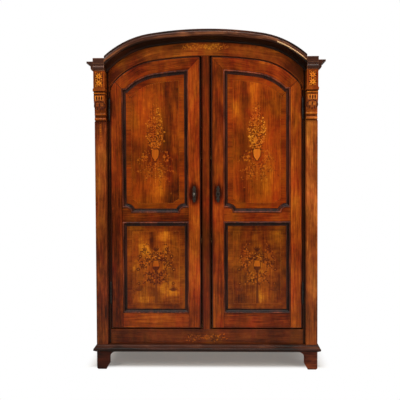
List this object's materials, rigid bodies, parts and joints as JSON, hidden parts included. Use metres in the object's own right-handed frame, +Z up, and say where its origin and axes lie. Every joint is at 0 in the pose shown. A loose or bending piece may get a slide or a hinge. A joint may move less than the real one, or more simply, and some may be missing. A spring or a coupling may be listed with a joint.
{
  "type": "kas cupboard",
  "caption": "Tall arched two-door wooden cupboard with a vaulted cornice, scrolled consoles, pilasters, framed panel doors, bracket feet and shelves inside.",
  "frame": {"origin": "centre of the overall box at floor level", "axes": "+Z up, the front faces -Y, +X to the right of someone facing the front"},
  "size_m": [1.478, 0.636, 2.095],
  "materials": {
    "carcass_walnut": "satin",
    "burr_veneer": "gloss",
    "ebonised_wood": "gloss",
    "inner_pine": "matte",
    "iron": "satin",
    "brass": "satin"
  },
  "bodies": {
    "case": {"arched_cornice": "ebonised_wood", "arched_header": "carcass_walnut", "back_boards": "inner_pine", "base_moulding": "ebonised_wood", "bottom_board": "inner_pine", "centre_post": "carcass_walnut", "left_back_foot": "ebonised_wood", "left_back_post": "carcass_walnut", "left_capital": "ebonised_wood", "left_console": "carcass_walnut", "left_front_foot": "ebonised_wood", "left_front_post": "carcass_walnut", "left_hinge_pins": "iron", "left_pilaster": "carcass_walnut", "left_side_cornice": "ebonised_wood", "left_side_panels": "carcass_walnut", "left_side_rails": "carcass_walnut", "lower_shelf": "inner_pine", "plinth_rail": "carcass_walnut", "right_back_foot": "ebonised_wood", "right_back_post": "carcass_walnut", "right_capital": "ebonised_wood", "right_console": "carcass_walnut", "right_front_foot": "ebonised_wood", "right_front_post": "carcass_walnut", "right_hinge_pins": "iron", "right_pilaster": "carcass_walnut", "right_side_cornice": "ebonised_wood", "right_side_panels": "carcass_walnut", "right_side_rails": "carcass_walnut", "roof_boards": "inner_pine", "shelf_cleats": "inner_pine", "upper_shelf": "inner_pine"},
    "left_door": {"left_door_bottom_rail": "carcass_walnut", "left_door_escutcheon": "brass", "left_door_hinge_leaves": "iron", "left_door_hinge_stile": "carcass_walnut", "left_door_lock_case": "iron", "left_door_lock_stile": "carcass_walnut", "left_door_lower_moulding": "ebonised_wood", "left_door_lower_panel": "burr_veneer", "left_door_mid_rail": "carcass_walnut", "left_door_top_rail": "carcass_walnut", "left_door_upper_moulding": "ebonised_wood", "left_door_upper_panel": "burr_veneer"},
    "right_door": {"right_door_bottom_rail": "carcass_walnut", "right_door_escutcheon": "brass", "right_door_hinge_leaves": "iron", "right_door_hinge_stile": "carcass_walnut", "right_door_lock_case": "iron", "right_door_lock_stile": "carcass_walnut", "right_door_lower_moulding": "ebonised_wood", "right_door_lower_panel": "burr_veneer", "right_door_mid_rail": "carcass_walnut", "right_door_top_rail": "carcass_walnut", "right_door_upper_moulding": "ebonised_wood", "right_door_upper_panel": "burr_veneer"},
    "left_bolt": {"left_lock_bolt": "iron"},
    "right_bolt": {"right_lock_bolt": "iron"},
    "key": {"key": "iron"}
  },
  "joints": [
    {"name": "left_door_hinge", "type": "hinge", "parent": "case", "child": "left_door", "pos_m": [-0.598, -0.229, 1.05], "axis": [0, 0, -1], "range_deg": [0, 100]},
    {"name": "right_door_hinge", "type": "hinge", "parent": "case", "child": "right_door", "pos_m": [0.598, -0.229, 1.05], "axis": [0, 0, 1], "range_deg": [0, 100]},
    {"name": "key_turn", "type": "hinge", "parent": "left_door", "child": "key", "pos_m": [-0.074, -0.23, 1.092], "axis": [0, 1, 0], "range_deg": [0, 180]},
    {"name": "left_bolt_slide", "type": "slide", "parent": "left_door", "child": "left_bolt", "axis": [1, 0, 0], "range_m": [0, 0.014]},
    {"name": "right_bolt_slide", "type": "slide", "parent": "right_door", "child": "right_bolt", "axis": [-1, 0, 0], "range_m": [0, 0.014]}
  ],
  "couplings": [
    {"joint": "key_turn", "follows": "left_bolt_slide", "rad_per_m": 224.39}
  ]
}
